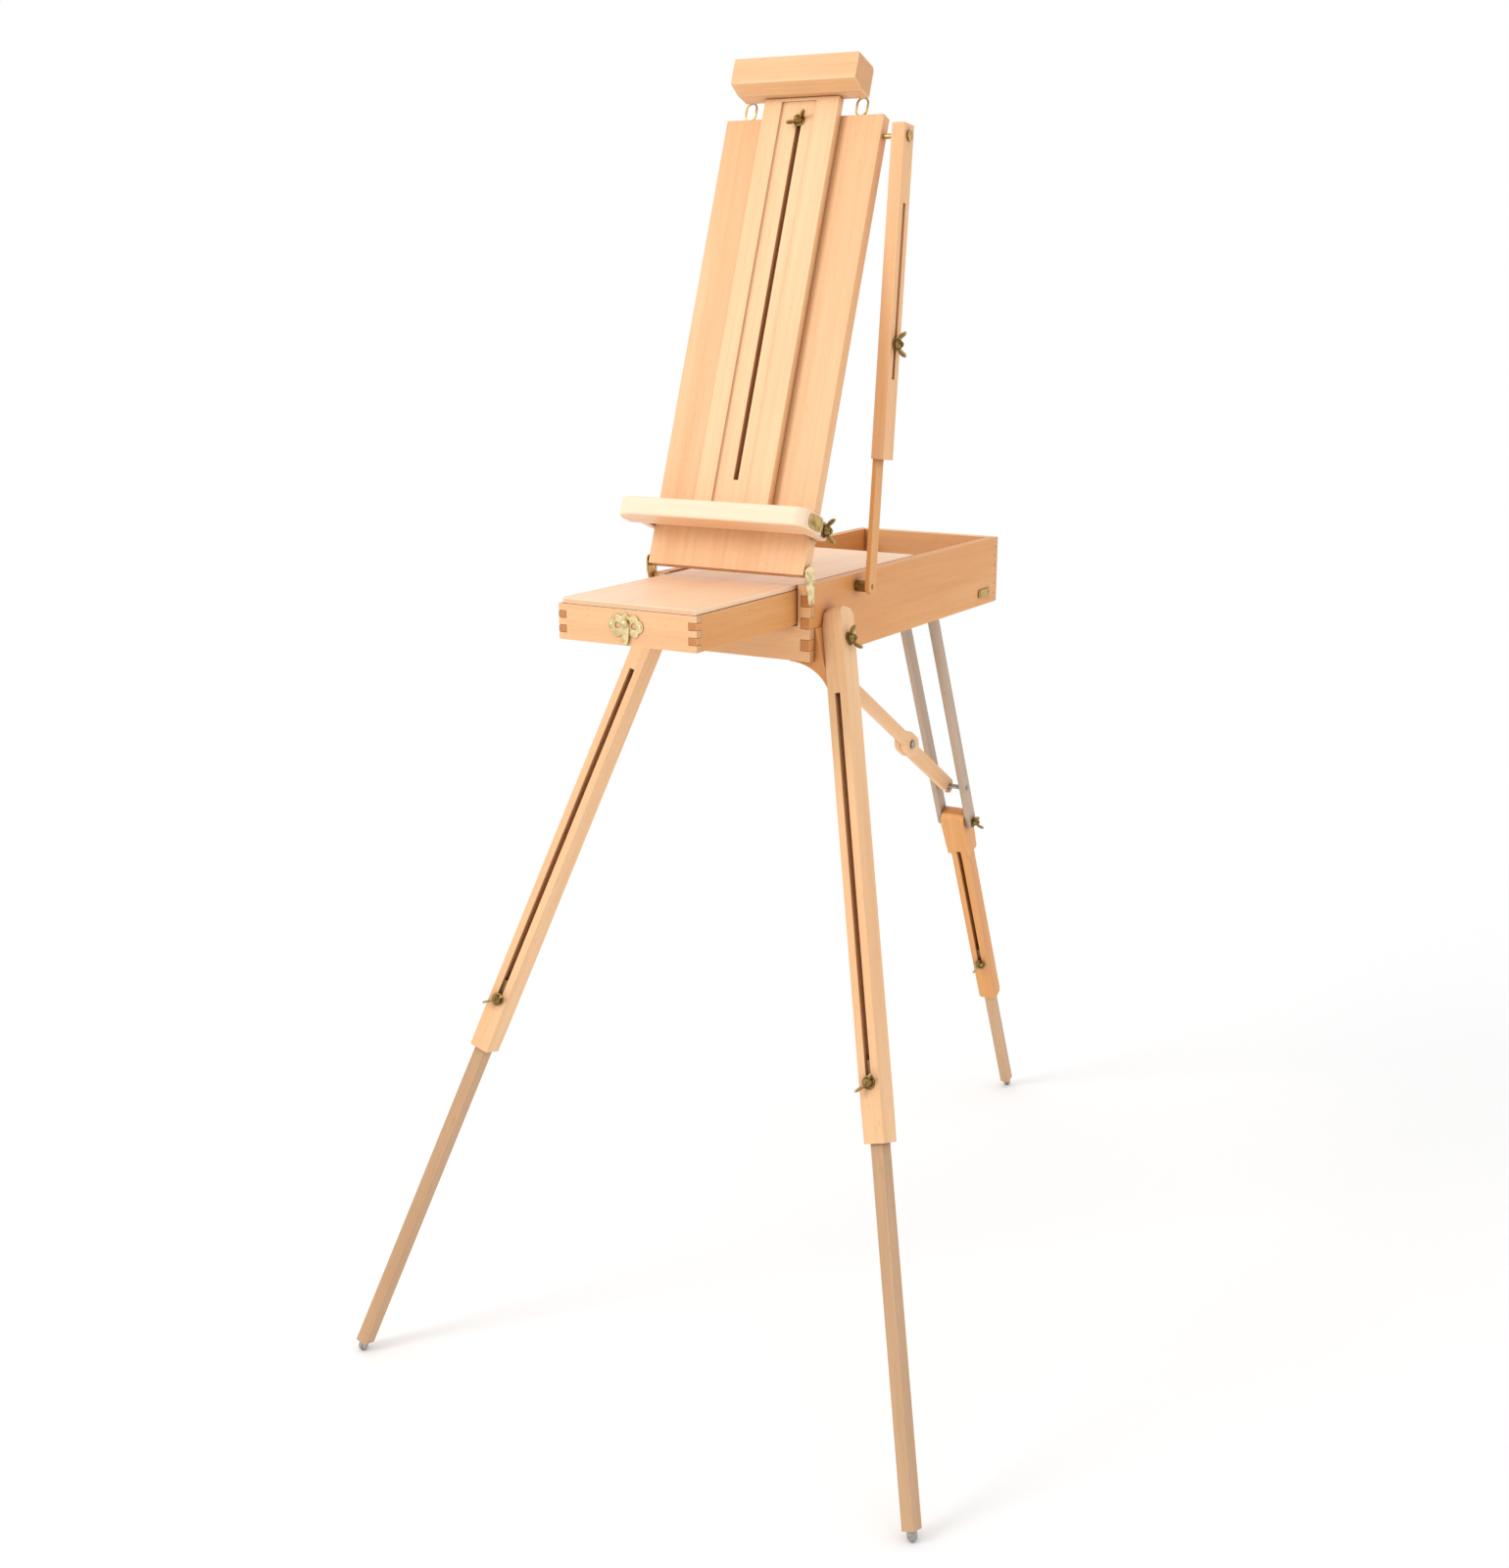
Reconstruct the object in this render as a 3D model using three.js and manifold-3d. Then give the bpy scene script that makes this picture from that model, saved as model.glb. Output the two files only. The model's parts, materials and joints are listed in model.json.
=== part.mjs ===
// Half-box sketch easel, opened on its three legs. Millimetres, +Z up, +X to the
// painter's right, the drawer pulls out towards -Y. The origin is on the floor.
import * as THREE from 'three';
import { mergeVertices } from 'three/addons/utils/BufferGeometryUtils.js';
import Module from 'manifold-3d';

const wasm = await Module();
wasm.setup();

// ---- driving dimensions ----
const Y_SHIFT = -326.697; // puts the middle of the footprint on the origin
const GAP = 0.3; // running and assembly clearance
const RAD = Math.PI / 180;

const BOX_HALF = 107;
const BOX_LENGTH = 550;
const BOX_Z = 900;
const BOX_TOP = 990;
const WALL = 12;
const FINGERS = 7;
const BOTTOM_T = 6;
const RUNNER_TOP = 942.5;
const RUNNER_DEPTH = 11;

const DRAWER_HALF = 89.5;
const DRAWER_Y0 = -218;
const DRAWER_Y1 = 305;
const DRAWER_Z0 = 943;
const DRAWER_Z1 = 983;
const DRAWER_T = 10;
const DRAWER_FINGERS = 5;
const PALETTE_T = 5.7;
const PALETTE_Y1 = 318;

const LID_PIVOT = new THREE.Vector3(0, -5, 1004);
const LID_LEAN = 20;
const LID_HALF = 105.5;
const LID_T = 16;
const LID_Z0 = -4;
const LID_Z1 = 542;
const LID_BOLT_Z = 518;
const HINGE_PIN_R = 2.5;

const MAST_HALF = 50;
const MAST_T = 12;
const MAST_Z0 = 66;
const MAST_Z1 = 561;
const MAST_BOLT_Z = 534;
const HEAD_HALF = 83;
const HEAD_Z1 = 598;

const LEDGE_HALF = 132;
const LEDGE_Z0 = 40;
const LEDGE_Z1 = 62;

const STAY_X = 122;
const STAY_FOOT = new THREE.Vector3(STAY_X, 118, 975);
const STAY_BAR_HALF = 9;
const STAY_BAR_LENGTH = 290;
const STAY_SLEEVE_HALF = 13;
const STAY_SLEEVE_T = 16;
const STAY_SLEEVE_LENGTH = 368;

const LEG_PIVOT = new THREE.Vector3(126.8, 37.3, 922);
const LEG_FOOT = new THREE.Vector3(390, -270, 6);
const LEG_T = 26;
const LEG_W = 30;
const LEG_TOP = 38;
const LEG_SLEEVE = 579.5;
const LEG_SLOT = [64.5, 518.5];
const LEG_SLOT_HALF = 3.5;
const LEG_BOLT = 511.5;
const LEG_INNER_T = 15;
const LEG_INNER_W = 20;

const REAR_PIVOT = new THREE.Vector3(0, 515, 884);
const REAR_FOOT = new THREE.Vector3(0, 925, 6);
const FORK_X = [19.5, 27.5];
const FORK_HALF = 8;
const KNEE = 386;
const HOOK = 320;
const REAR_SLEEVE_END = 759;
const REAR_SLOT = [440, 690];
const REAR_BOLT = 679;
const REAR_HALF = 18.5;

const BRACE_PIVOT = new THREE.Vector3(0, 176, 888);
const BRACE_ELBOW = 373;
const FOOT_R = 6;

// ---- shape helpers ----
function solid(geometry) {
  const g = geometry.clone();
  g.deleteAttribute('normal');
  g.deleteAttribute('uv');
  const m = mergeVertices(g, 1e-4);
  return new wasm.Manifold(new wasm.Mesh({
    numProp: 3,
    vertProperties: new Float32Array(m.attributes.position.array),
    triVerts: new Uint32Array(m.index.array),
  }));
}

function surface(manifold) {
  const mesh = manifold.getMesh();
  const g = new THREE.BufferGeometry();
  g.setAttribute('position', new THREE.BufferAttribute(new Float32Array(mesh.vertProperties), 3));
  g.setIndex(new THREE.BufferAttribute(new Uint32Array(mesh.triVerts), 1));
  return g;
}

function unite(...pieces) {
  return surface(pieces.map(solid).reduce((a, b) => a.add(b)));
}

function cut(piece, ...tools) {
  return surface(tools.map(solid).reduce((a, b) => a.subtract(b), solid(piece)));
}

function block(x0, x1, y0, y1, z0, z1) {
  const g = new THREE.BoxGeometry(x1 - x0, y1 - y0, z1 - z0);
  return g.translate((x0 + x1) / 2, (y0 + y1) / 2, (z0 + z1) / 2);
}

function extruded(points, depth) {
  const shape = new THREE.Shape(points.map(([a, b]) => new THREE.Vector2(a, b)));
  return new THREE.ExtrudeGeometry(shape, { depth, bevelEnabled: false });
}

// Outline given in (y, z), carried from x0 to x1.
function prismX(points, x0, x1) {
  const turn = new THREE.Matrix4().makeBasis(
    new THREE.Vector3(0, 1, 0),
    new THREE.Vector3(0, 0, 1),
    new THREE.Vector3(1, 0, 0),
  );
  return extruded(points, x1 - x0).applyMatrix4(turn).translate(x0, 0, 0);
}

// Outline given in (x, z), carried from y0 to y1.
function prismY(points, y0, y1) {
  const turn = new THREE.Matrix4().makeBasis(
    new THREE.Vector3(1, 0, 0),
    new THREE.Vector3(0, 0, 1),
    new THREE.Vector3(0, -1, 0),
  );
  return extruded(points, y1 - y0).applyMatrix4(turn).translate(0, y1, 0);
}

// A flat bar with two round ends, in (y, z), centres at z0 and z1.
function stadium(radius, z0, z1, steps = 14) {
  const points = [];
  for (let i = 0; i <= steps; i += 1) {
    const a = (Math.PI * i) / steps;
    points.push([radius * Math.cos(a), z1 + radius * Math.sin(a)]);
  }
  for (let i = 0; i <= steps; i += 1) {
    const a = Math.PI + (Math.PI * i) / steps;
    points.push([radius * Math.cos(a), z0 + radius * Math.sin(a)]);
  }
  return points;
}

function rodX(radius, x0, x1, y, z, sides = 24) {
  const g = new THREE.CylinderGeometry(radius, radius, x1 - x0, sides);
  return g.rotateZ(-Math.PI / 2).translate((x0 + x1) / 2, y, z);
}

function rodZ(radius, z0, z1, sides = 16) {
  const g = new THREE.CylinderGeometry(radius, radius, z1 - z0, sides);
  return g.rotateX(Math.PI / 2).translate(0, 0, (z0 + z1) / 2);
}

function mirrored(geometry) {
  const g = (geometry.index ? geometry.toNonIndexed() : geometry.clone()).scale(-1, 1, 1);
  const p = g.attributes.position;
  for (let i = 0; i < p.count; i += 3) {
    const [x, y, z] = [p.getX(i), p.getY(i), p.getZ(i)];
    p.setXYZ(i, p.getX(i + 1), p.getY(i + 1), p.getZ(i + 1));
    p.setXYZ(i + 1, x, y, z);
  }
  return g;
}

// Carries a shape whose own axes are x and z to a frame at origin.
function framed(geometry, origin, xAxis, zAxis) {
  const z = zAxis.clone().normalize();
  const x = xAxis.clone().normalize();
  const y = z.clone().cross(x);
  const m = new THREE.Matrix4().makeBasis(x, y, z).setPosition(origin);
  return geometry.clone().applyMatrix4(m);
}

// Wing nut on its stud: washer at z = 0, wings upwards, stud downwards.
function wingBolt(studRadius, studLength, size = 1) {
  const wing = [[3, 2], [9, 3], [14, 9], [15.5, 13], [13, 15], [8, 12], [3, 8]];
  const wings = prismY(wing, -1.3, 1.3);
  const other = wings.clone().rotateZ(Math.PI);
  const head = [rodZ(8, 0, 1.6), rodZ(5, 1, 8.5, 12), wings, other];
  for (const g of head) {
    g.scale(size, size, size);
  }
  return unite(rodZ(studRadius, -studLength, 0.5, 12), ...head);
}

// ---- materials ----
function material(color, roughness, metalness = 0) {
  return new THREE.MeshStandardMaterial({ color, roughness, metalness });
}

const BEECH = () => material(0xe6bd8a, 0.55);
const BEECH_DARK = () => material(0xc9996a, 0.6);
const BRASS = () => material(0xb5924c, 0.35, 1);
const STEEL = () => material(0x8c8a86, 0.4, 1);

const easel = new THREE.Group();
easel.name = 'easel';

function add(name, geometry, look) {
  const mesh = new THREE.Mesh(geometry.translate(0, Y_SHIFT, 0), look);
  mesh.name = name;
  easel.add(mesh);
}

function addPair(name, geometry, look) {
  add(`${name}_left`, mirrored(geometry), look());
  add(`${name}_right`, geometry, look());
}

// ---- box ----
// The fingers numbered from odd (1, 3, 5) or even (0, 2, 4, 6) along a corner.
function fingers(start, count, z0, z1, make) {
  const step = (z1 - z0) / count;
  const list = [];
  for (let i = start; i < count; i += 2) {
    const low = i === 0 ? z0 : z0 + i * step + GAP / 2;
    const high = i === count - 1 ? z1 : z0 + (i + 1) * step - GAP / 2;
    list.push(make(low, high));
  }
  return list;
}

function sideWall(...holes) {
  const x0 = BOX_HALF - WALL;
  const inner = [WALL + GAP, BOX_LENGTH - WALL - GAP];
  const wall = block(x0, BOX_HALF, inner[0], inner[1], BOX_Z, BOX_TOP);
  const runner = block(x0 - RUNNER_DEPTH, x0 + 1, inner[0] + 2, inner[1] - 2, RUNNER_TOP - 12, RUNNER_TOP);
  const front = fingers(1, FINGERS, BOX_Z, BOX_TOP, (a, b) => block(x0, BOX_HALF, 0, WALL + 1, a, b));
  const rear = fingers(1, FINGERS, BOX_Z, BOX_TOP, (a, b) => (
    block(x0, BOX_HALF, BOX_LENGTH - WALL - 1, BOX_LENGTH, a, b)
  ));
  return cut(unite(wall, runner, ...front, ...rear), ...holes);
}

function endWall(y0) {
  const half = BOX_HALF - WALL - GAP;
  const core = block(-half, half, y0, y0 + WALL, BOX_Z, BOX_TOP);
  const ends = [-1, 1].flatMap((side) => fingers(0, FINGERS, BOX_Z, BOX_TOP, (a, b) => (
    side > 0
      ? block(half - 1, BOX_HALF, y0, y0 + WALL, a, b)
      : block(-BOX_HALF, 1 - half, y0, y0 + WALL, a, b)
  )));
  return unite(core, ...ends);
}

function frontFrame() {
  const mouth = DRAWER_HALF + 1;
  return cut(endWall(0), block(-mouth, mouth, -1, WALL + 1, RUNNER_TOP - 1, BOX_TOP + 1));
}

function hingePlate() {
  const y = LID_PIVOT.y;
  const z = LID_PIVOT.z;
  const plate = [
    [8, 968], [8, z], [y + 8, z + 6], [y + 4, z + 8], [y - 4, z + 8], [y - 8, z + 5], [y - 8, z - 10], [-4, 968],
  ];
  const sheet = prismX(plate, BOX_HALF + GAP, BOX_HALF + 1.9);
  return unite(sheet, rodX(HINGE_PIN_R, 98, BOX_HALF + 1, y, z, 12));
}

// Direction of the front leg, and the normal of the plane that it folds in.
const legDown = LEG_FOOT.clone().sub(LEG_PIVOT);
const LEG_LENGTH = legDown.length();
legDown.normalize();
const splay = Math.atan2(legDown.x, -legDown.z);
const legAxis = new THREE.Vector3(Math.cos(splay), 0, Math.sin(splay));

// The wedge between the box wall and the leg. The right one runs on down as a curved gusset.
const BLOCK_TOP = 938;
const GUSSET_FOOT = 852;
const GUSSET_INNER = 74;

function legInnerFace(z) {
  return LEG_PIVOT.x - (LEG_T / 2 + 0.5) / Math.cos(splay) + (LEG_PIVOT.z - z) * Math.tan(splay);
}

function gussetCurve() {
  const foot = legInnerFace(GUSSET_FOOT) - 4;
  const rise = BOX_Z - GAP - 3 - GUSSET_FOOT;
  const points = [];
  const steps = 12;
  for (let i = 1; i <= steps; i += 1) {
    const a = (Math.PI / 2) * (i / steps);
    points.push([foot - (foot - GUSSET_INNER) * (1 - Math.cos(a)), GUSSET_FOOT + rise * Math.sin(a)]);
  }
  return points;
}

function legBlock(lower) {
  const outline = [[BOX_HALF + GAP, BOX_Z - GAP], [BOX_HALF + GAP, BLOCK_TOP], [legInnerFace(BLOCK_TOP), BLOCK_TOP]];
  const stud = framed(rodZ(3.8, -18, -10), LEG_PIVOT, new THREE.Vector3(0, 1, 0), legAxis);
  return cut(prismY([...outline, ...lower], 12, 60), stud);
}

function buildBox() {
  const screwHole = rodX(3.3, BOX_HALF - WALL - 1, BOX_HALF + 1, STAY_FOOT.y, STAY_FOOT.z);
  add('side_wall_left', mirrored(sideWall()), BEECH());
  add('side_wall_right', sideWall(screwHole), BEECH());
  add('front_frame', frontFrame(), BEECH());
  add('rear_wall', endWall(BOX_LENGTH - WALL), BEECH());
  const half = BOX_HALF - WALL - GAP;
  const bottom = block(-half, half, WALL + GAP, BOX_LENGTH - WALL - GAP, BOX_Z, BOX_Z + BOTTOM_T);
  add('bottom_panel', bottom, BEECH_DARK());
  addPair('hinge_plate', hingePlate(), BRASS);
  const wedgeFoot = [[legInnerFace(BOX_Z - GAP), BOX_Z - GAP]];
  const gusset = [[legInnerFace(GUSSET_FOOT), GUSSET_FOOT], ...gussetCurve(), [GUSSET_INNER, BOX_Z - GAP]];
  add('leg_block_left', mirrored(legBlock(wedgeFoot)), BEECH());
  add('leg_block_right', legBlock(gusset), BEECH());
  const { y: ry, z: rz } = REAR_PIVOT;
  const mount = block(-REAR_HALF, REAR_HALF, ry - 18, ry + 18, rz - 12, BOX_Z - GAP);
  add('rear_mount', cut(mount, rodX(4.3, -20, 20, ry, rz)), BEECH_DARK());
  add('rear_pin', rodX(4, -FORK_X[1] - 2, FORK_X[1] + 2, ry, rz), STEEL());
  const { y: by, z: bz } = BRACE_PIVOT;
  const braceMount = block(-24, -0.5, by - 16, by + 16, bz - 14, BOX_Z - GAP);
  add('brace_mount', cut(braceMount, rodX(3.8, -30, 5, by, bz)), BEECH_DARK());
  add('brace_pin', rodX(3.5, -25, 10, by, bz), STEEL());
  add('catch_plate', block(BOX_HALF + GAP, BOX_HALF + 2, 486, 522, 912, 922), BRASS());
  const screw = unite(
    rodX(3, BOX_HALF - 9, STAY_X + 6, STAY_FOOT.y, STAY_FOOT.z),
    rodX(7, BOX_HALF + GAP, STAY_X - GAP, STAY_FOOT.y, STAY_FOOT.z),
  );
  add('stay_screw', screw, STEEL());
}

// ---- drawer and palette ----
function drawerEnd(y0) {
  const half = DRAWER_HALF - DRAWER_T - GAP;
  const core = block(-half, half, y0, y0 + DRAWER_T, DRAWER_Z0, DRAWER_Z1);
  const ends = [-1, 1].flatMap((side) => fingers(0, DRAWER_FINGERS, DRAWER_Z0, DRAWER_Z1, (a, b) => (
    side > 0
      ? block(half - 1, DRAWER_HALF, y0, y0 + DRAWER_T, a, b)
      : block(-DRAWER_HALF, 1 - half, y0, y0 + DRAWER_T, a, b)
  )));
  return unite(core, ...ends);
}

function drawerSide() {
  const x0 = DRAWER_HALF - DRAWER_T;
  const [y0, y1] = [DRAWER_Y0 + DRAWER_T + GAP, DRAWER_Y1 - DRAWER_T - GAP];
  const ends = [[DRAWER_Y0, y0 + 1], [y1 - 1, DRAWER_Y1]].flatMap(([a, b]) => (
    fingers(1, DRAWER_FINGERS, DRAWER_Z0, DRAWER_Z1, (low, high) => block(x0, DRAWER_HALF, a, b, low, high))
  ));
  return unite(block(x0, DRAWER_HALF, y0, y1, DRAWER_Z0, DRAWER_Z1), ...ends);
}

function latch() {
  const y = DRAWER_Y0 - GAP;
  const z = 965;
  const plate = [
    [-22, z - 4], [-15, z - 12], [-6, z - 10], [0, z - 14], [6, z - 10], [15, z - 12],
    [22, z - 4], [22, z + 4], [15, z + 12], [6, z + 10], [0, z + 14], [-6, z + 10], [-15, z + 12], [-22, z + 4],
  ];
  return unite(
    prismY(plate, y - 1.5, y),
    block(-5, 5, y - 6, y - 1, z - 9, z + 6),
    block(-8, 8, y - 8, y - 5, z - 12, z - 6),
  );
}

function buildDrawer() {
  add('drawer_front', drawerEnd(DRAWER_Y0), BEECH());
  add('drawer_back', drawerEnd(DRAWER_Y1 - DRAWER_T), BEECH());
  addPair('drawer_side', drawerSide(), BEECH);
  const half = DRAWER_HALF - DRAWER_T - GAP;
  const [y0, y1] = [DRAWER_Y0 + DRAWER_T + GAP, DRAWER_Y1 - DRAWER_T - GAP];
  add('drawer_bottom', block(-half, half, y0, y1, DRAWER_Z0, DRAWER_Z0 + 4), BEECH_DARK());
  add('drawer_latch', latch(), BRASS());
  const top = DRAWER_Z1 + GAP;
  const palette = block(-DRAWER_HALF, DRAWER_HALF, DRAWER_Y0, PALETTE_Y1, top, top + PALETTE_T);
  add('palette', palette, BEECH());
}

// ---- lid, mast and ledge, drawn upright and then leaned back ----
function leaned(geometry) {
  const p = LID_PIVOT;
  return geometry.rotateX(-LID_LEAN * RAD).translate(p.x, p.y, p.z);
}

const LID_FRONT = -LID_T / 2;

function lidPanel() {
  const panel = block(-LID_HALF, LID_HALF, LID_FRONT, LID_T / 2, LID_Z0, LID_Z1);
  const hollow = block(-LID_HALF + 12, LID_HALF - 12, 0, LID_T, LID_Z0 + 18, LID_Z1 - 14);
  const pins = rodX(HINGE_PIN_R + GAP, -LID_HALF - 1, LID_HALF + 1, 0, 0, 12);
  const keep = block(-94, 94, -6, 6, -3.5, 5);
  const stud = rodZ(2.8, -1, LID_T + 1, 12).rotateX(Math.PI / 2).translate(0, LID_T / 2, MAST_BOLT_Z);
  return cut(panel, hollow, cut(pins, keep), stud);
}

// Wire loop of a toggle catch, standing on the top edge of the lid.
function catchLoop(x) {
  const low = LID_Z1 + 8 + GAP;
  const outer = prismY(stadium(8, low, low + 8), -1, 1);
  const inner = prismY(stadium(6, low, low + 8), -2, 2);
  return cut(outer, inner).translate(x, -2, 0);
}

function mastBoard() {
  const y1 = LID_FRONT - GAP;
  const y0 = y1 - MAST_T;
  const board = block(-MAST_HALF, MAST_HALF, y0, y1, MAST_Z0, MAST_Z1);
  const channel = block(-26, 20, y0 - 1, y0 + 3, MAST_Z0 - 1, MAST_Z1 - 4);
  const slot = block(-3.2, 3.2, y0 - 1, y1 + 1, 100, MAST_BOLT_Z + 6);
  return cut(board, channel, slot);
}

function mastHead() {
  const back = LID_FRONT - GAP;
  const outline = [
    [back, MAST_Z1 + GAP], [back, HEAD_Z1 - 4], [back - 4, HEAD_Z1], [back - 60, HEAD_Z1],
    [back - 60, HEAD_Z1 - 26], [back - 46, MAST_Z1 + GAP],
  ];
  return prismX(outline, -HEAD_HALF, HEAD_HALF);
}

function ledge() {
  const y1 = LID_FRONT - MAST_T - 1;
  const y0 = y1 - 48;
  const shelf = [[y1, LEDGE_Z0], [y1, LEDGE_Z1], [y0 + 5, LEDGE_Z1], [y0, LEDGE_Z1 - 6], [y0, LEDGE_Z0 + 6],
    [y0 + 5, LEDGE_Z0]];
  const bar = prismX(shelf, -LEDGE_HALF, LEDGE_HALF);
  const x = LID_HALF + 0.8;
  const arms = [[-x - 12, -x], [x, x + 12]].map(([a, b]) => (
    block(a, b, y1 - 10, LID_T / 2, LEDGE_Z0, LEDGE_Z1)
  ));
  const hole = rodX(2.9, x - 2, x + 20, 0, (LEDGE_Z0 + LEDGE_Z1) / 2, 12);
  return cut(unite(bar, ...arms), hole);
}

function sideWing(x, y, z, stud) {
  const out = new THREE.Vector3(1, 0, 0);
  return framed(wingBolt(2.6, stud), new THREE.Vector3(x, y, z), new THREE.Vector3(0, 0, 1), out);
}

function frontWing(y, z, stud, size) {
  const out = new THREE.Vector3(0, -1, 0);
  return framed(wingBolt(2.5, stud, size), new THREE.Vector3(0, y, z), new THREE.Vector3(1, 0, 0), out);
}

function buildLid() {
  add('lid_panel', leaned(lidPanel()), BEECH());
  add('catch_loop_left', leaned(catchLoop(-78)), BRASS());
  add('catch_loop_right', leaned(catchLoop(72)), BRASS());
  add('mast_board', leaned(mastBoard()), BEECH());
  add('mast_head', leaned(mastHead()), BEECH());
  const face = LID_FRONT - GAP - MAST_T + 3 - GAP;
  add('mast_wing', leaned(frontWing(face, MAST_BOLT_Z, 19, 0.9)), BRASS());
  add('ledge', leaned(ledge()), BEECH());
  const armFace = LID_HALF + 12.8 + GAP;
  add('ledge_wing', leaned(sideWing(armFace, 0, (LEDGE_Z0 + LEDGE_Z1) / 2, 12)), BRASS());
}

// ---- the lid's stay, on the right side only ----
function buildStay() {
  const top = new THREE.Vector3(0, Math.sin(LID_LEAN * RAD), Math.cos(LID_LEAN * RAD));
  top.multiplyScalar(LID_BOLT_Z).add(LID_PIVOT).setX(STAY_X);
  const up = top.clone().sub(STAY_FOOT);
  const length = up.length();
  const x = new THREE.Vector3(1, 0, 0);
  const bar = cut(prismX(stadium(STAY_BAR_HALF, 0, STAY_BAR_LENGTH), GAP, 6), rodX(3.3, -1, 8, 0, 0));
  add('stay_bar', framed(bar, STAY_FOOT, x, up), BEECH_DARK());
  const low = length - STAY_SLEEVE_LENGTH;
  const wingAt = STAY_BAR_LENGTH - 6;
  const sleeve = cut(
    block(0, STAY_SLEEVE_T, -STAY_SLEEVE_HALF, STAY_SLEEVE_HALF, low, length + 13),
    block(-1, 6 + GAP, -STAY_BAR_HALF - GAP, STAY_BAR_HALF + GAP, low - 1, length - 38),
    block(5, STAY_SLEEVE_T + 1, -3.2, 3.2, length - 275, length - 75),
    rodX(3.3, -1, STAY_SLEEVE_T + 1, 0, length),
  );
  add('stay_sleeve', framed(sleeve, STAY_FOOT, x, up), BEECH());
  const bolt = unite(
    rodX(3, LID_HALF + 1.5 - STAY_X, STAY_SLEEVE_T + 2, 0, length),
    rodX(6, STAY_SLEEVE_T + GAP, STAY_SLEEVE_T + 3, 0, length),
  );
  add('stay_bolt', framed(bolt, STAY_FOOT, x, up), BRASS());
  const wing = sideWing(STAY_SLEEVE_T + GAP, 0, wingAt, STAY_SLEEVE_T - 6 - GAP);
  add('stay_wing', framed(wing, STAY_FOOT, x, up), BRASS());
}

// ---- front legs: x across, y fore and aft, z up along the leg from its pivot ----
function innerLeg(top, end, halfX, halfY, boltAt) {
  const leg = block(-halfX, halfX, -halfY, halfY, -end, -top);
  const hole = rodZ(2.9, 0, halfY + 1, 12).rotateX(Math.PI / 2).translate(0, 0, -boltAt);
  return cut(leg, hole);
}

function footTip(length) {
  const profile = [[0, 6], [5.5, 6], [6, 3], [6, 0]];
  const steps = 6;
  for (let i = 1; i <= steps; i += 1) {
    const a = (Math.PI / 2) * (i / steps);
    profile.push([i === steps ? 0 : FOOT_R * Math.cos(a), -FOOT_R * Math.sin(a)]);
  }
  const points = profile.map(([r, z]) => new THREE.Vector2(r, z)).reverse();
  return new THREE.LatheGeometry(points, 16).rotateX(Math.PI / 2).translate(0, 0, -length);
}

function frontSleeve() {
  const [w, t] = [LEG_W / 2, LEG_T / 2];
  const shoulder = LEG_SLEEVE - 45;
  const outline = [[-w, -shoulder], [w, -shoulder], [w, LEG_TOP - 6], [w - 6, LEG_TOP], [6 - w, LEG_TOP],
    [-w, LEG_TOP - 6]];
  outline.splice(1, 0, [1 - w, -LEG_SLEEVE], [w - 1, -LEG_SLEEVE]);
  const [cx, cy] = [LEG_INNER_T / 2 + GAP, LEG_INNER_W / 2 + GAP];
  return cut(
    prismX(outline, -t, t),
    block(-cx, cx, -cy, cy, -LEG_SLEEVE - 1, -48),
    block(-LEG_SLOT_HALF, LEG_SLOT_HALF, -w - 1, 0, -LEG_SLOT[1], -LEG_SLOT[0]),
    rodX(3.8, -t - 1, t + 1, 0, 0),
  );
}

// The head of the leg is coned on its inner side, so that it clears the box wall as it turns.
function headRelief() {
  const clear = LEG_PIVOT.x - BOX_HALF - 0.8;
  const reach = 2 * LEG_TOP;
  const inner = (r) => (r * Math.sin(splay) - clear) / Math.cos(splay);
  const points = [[0, inner(0) - LEG_T], [reach, inner(0) - LEG_T], [reach, inner(reach)], [0, inner(0)]];
  const profile = points.map(([r, x]) => new THREE.Vector2(r, x));
  const cone = new THREE.LatheGeometry([...profile, profile[0]], 48).rotateZ(-Math.PI / 2);
  return cut(cone, block(-reach, reach, -reach - 1, reach + 1, -reach - 1, 0));
}

function buildFrontLegs() {
  const up = legDown.clone().negate();
  const place = (g) => framed(g, LEG_PIVOT, legAxis, up);
  addPair('leg_sleeve', place(cut(frontSleeve(), headRelief())), BEECH);
  const inner = innerLeg(LEG_BOLT - 25, LEG_LENGTH - 6 - GAP, LEG_INNER_T / 2, LEG_INNER_W / 2, LEG_BOLT);
  addPair('leg_inner', place(inner), BEECH_DARK);
  addPair('leg_tip', place(footTip(LEG_LENGTH)), STEEL);
  const pivotWing = sideWing(LEG_T / 2 + GAP, 0, 0, LEG_T + 2.5);
  addPair('leg_pivot_wing', place(pivotWing), BRASS);
  const slotWing = frontWing(-LEG_W / 2 - GAP, -LEG_BOLT, 14, 1);
  addPair('leg_slot_wing', place(slotWing), BRASS);
}

// ---- rear leg: two fork slats, a knee, a slotted sleeve and the inner leg ----
const rearDown = REAR_FOOT.clone().sub(REAR_PIVOT);
const REAR_LENGTH = rearDown.length();
rearDown.normalize();

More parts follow.
